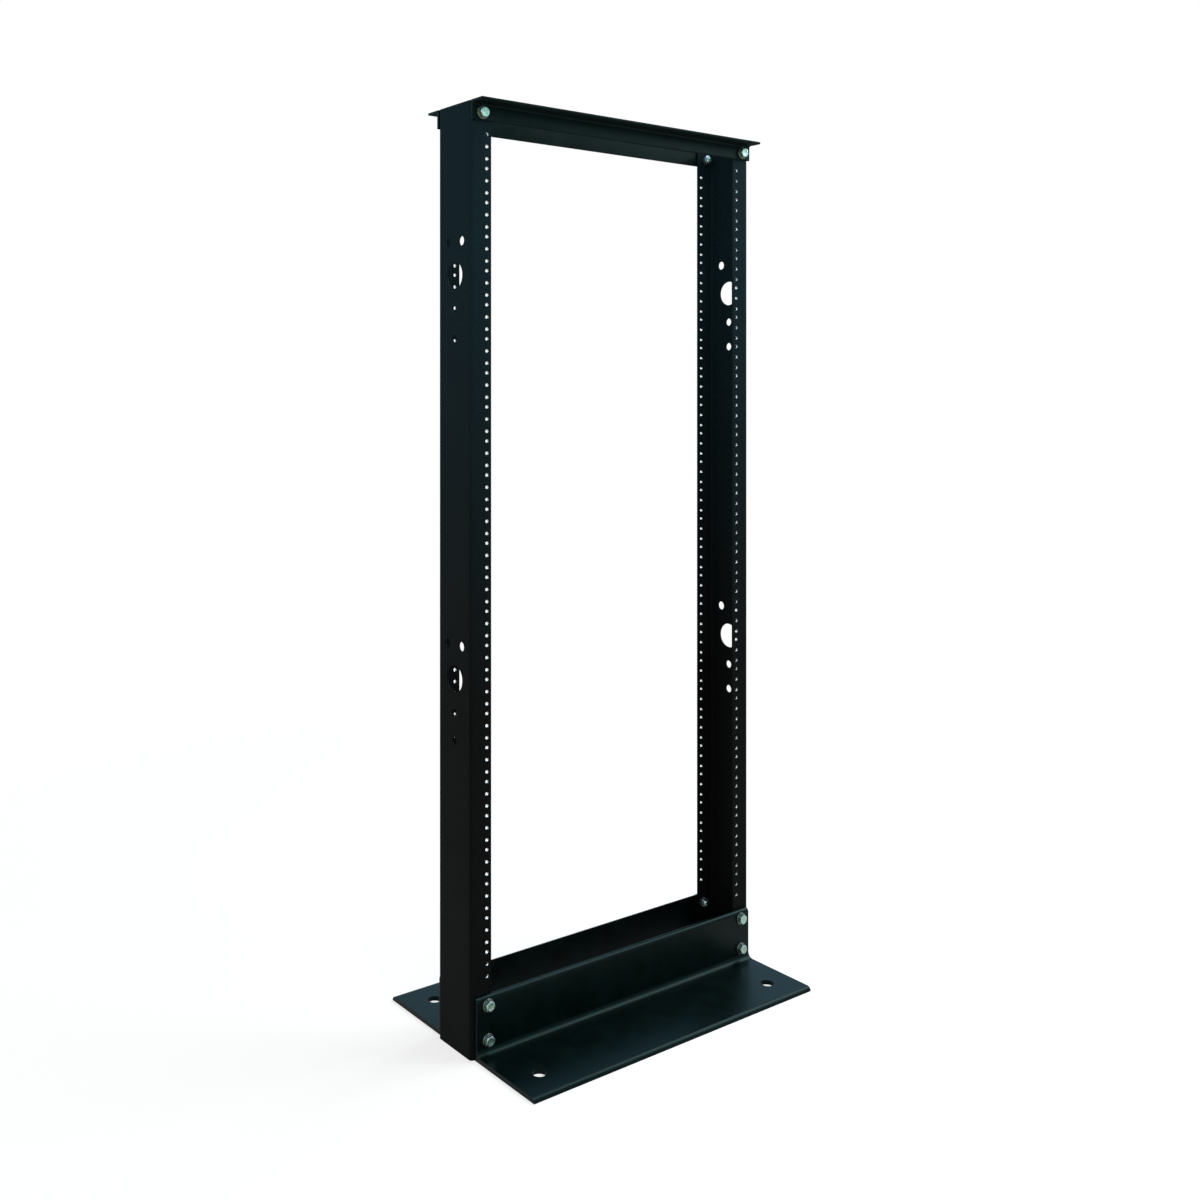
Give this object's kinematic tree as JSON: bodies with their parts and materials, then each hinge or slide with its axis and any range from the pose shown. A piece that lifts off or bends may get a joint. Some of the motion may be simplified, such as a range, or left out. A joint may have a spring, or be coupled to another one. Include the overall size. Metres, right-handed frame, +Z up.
{
  "type": "two post open frame rack",
  "caption": "Open rack of two channel uprights joined by angles at the top and base, for equipment screwed to the flanges; it stands on the floor or is anchored to it.",
  "frame": {"origin": "on the floor, in the middle of the base", "axes": "+Z up along the uprights, -Y out of the front flanges, +X to the right seen from the front"},
  "size_m": [0.5156, 0.3302, 1.2446],
  "materials": {
    "black_powder_coat": "satin black powder coat with a fine grain",
    "zinc_plated_steel": "bright zinc plating, a little uneven"
  },
  "bodies": {
    "root": {"front_base_angle": "black_powder_coat", "front_left_lower_base_bolt": "zinc_plated_steel", "front_left_lower_base_nut": "zinc_plated_steel", "front_left_lower_base_washer": "zinc_plated_steel", "front_left_top_bolt": "zinc_plated_steel", "front_left_top_nut": "zinc_plated_steel", "front_left_top_washer": "zinc_plated_steel", "front_left_upper_base_bolt": "zinc_plated_steel", "front_left_upper_base_nut": "zinc_plated_steel", "front_left_upper_base_washer": "zinc_plated_steel", "front_right_lower_base_bolt": "zinc_plated_steel", "front_right_lower_base_nut": "zinc_plated_steel", "front_right_lower_base_washer": "zinc_plated_steel", "front_right_top_bolt": "zinc_plated_steel", "front_right_top_nut": "zinc_plated_steel", "front_right_top_washer": "zinc_plated_steel", "front_right_upper_base_bolt": "zinc_plated_steel", "front_right_upper_base_nut": "zinc_plated_steel", "front_right_upper_base_washer": "zinc_plated_steel", "front_top_angle": "black_powder_coat", "left_upright": "black_powder_coat", "rear_base_angle": "black_powder_coat", "rear_left_lower_base_bolt": "zinc_plated_steel", "rear_left_lower_base_nut": "zinc_plated_steel", "rear_left_lower_base_washer": "zinc_plated_steel", "rear_left_top_bolt": "zinc_plated_steel", "rear_left_top_nut": "zinc_plated_steel", "rear_left_top_washer": "zinc_plated_steel", "rear_left_upper_base_bolt": "zinc_plated_steel", "rear_left_upper_base_nut": "zinc_plated_steel", "rear_left_upper_base_washer": "zinc_plated_steel", "rear_right_lower_base_bolt": "zinc_plated_steel", "rear_right_lower_base_nut": "zinc_plated_steel", "rear_right_lower_base_washer": "zinc_plated_steel", "rear_right_top_bolt": "zinc_plated_steel", "rear_right_top_nut": "zinc_plated_steel", "rear_right_top_washer": "zinc_plated_steel", "rear_right_upper_base_bolt": "zinc_plated_steel", "rear_right_upper_base_nut": "zinc_plated_steel", "rear_right_upper_base_washer": "zinc_plated_steel", "rear_top_angle": "black_powder_coat", "right_upright": "black_powder_coat"}
  },
  "joints": []
}
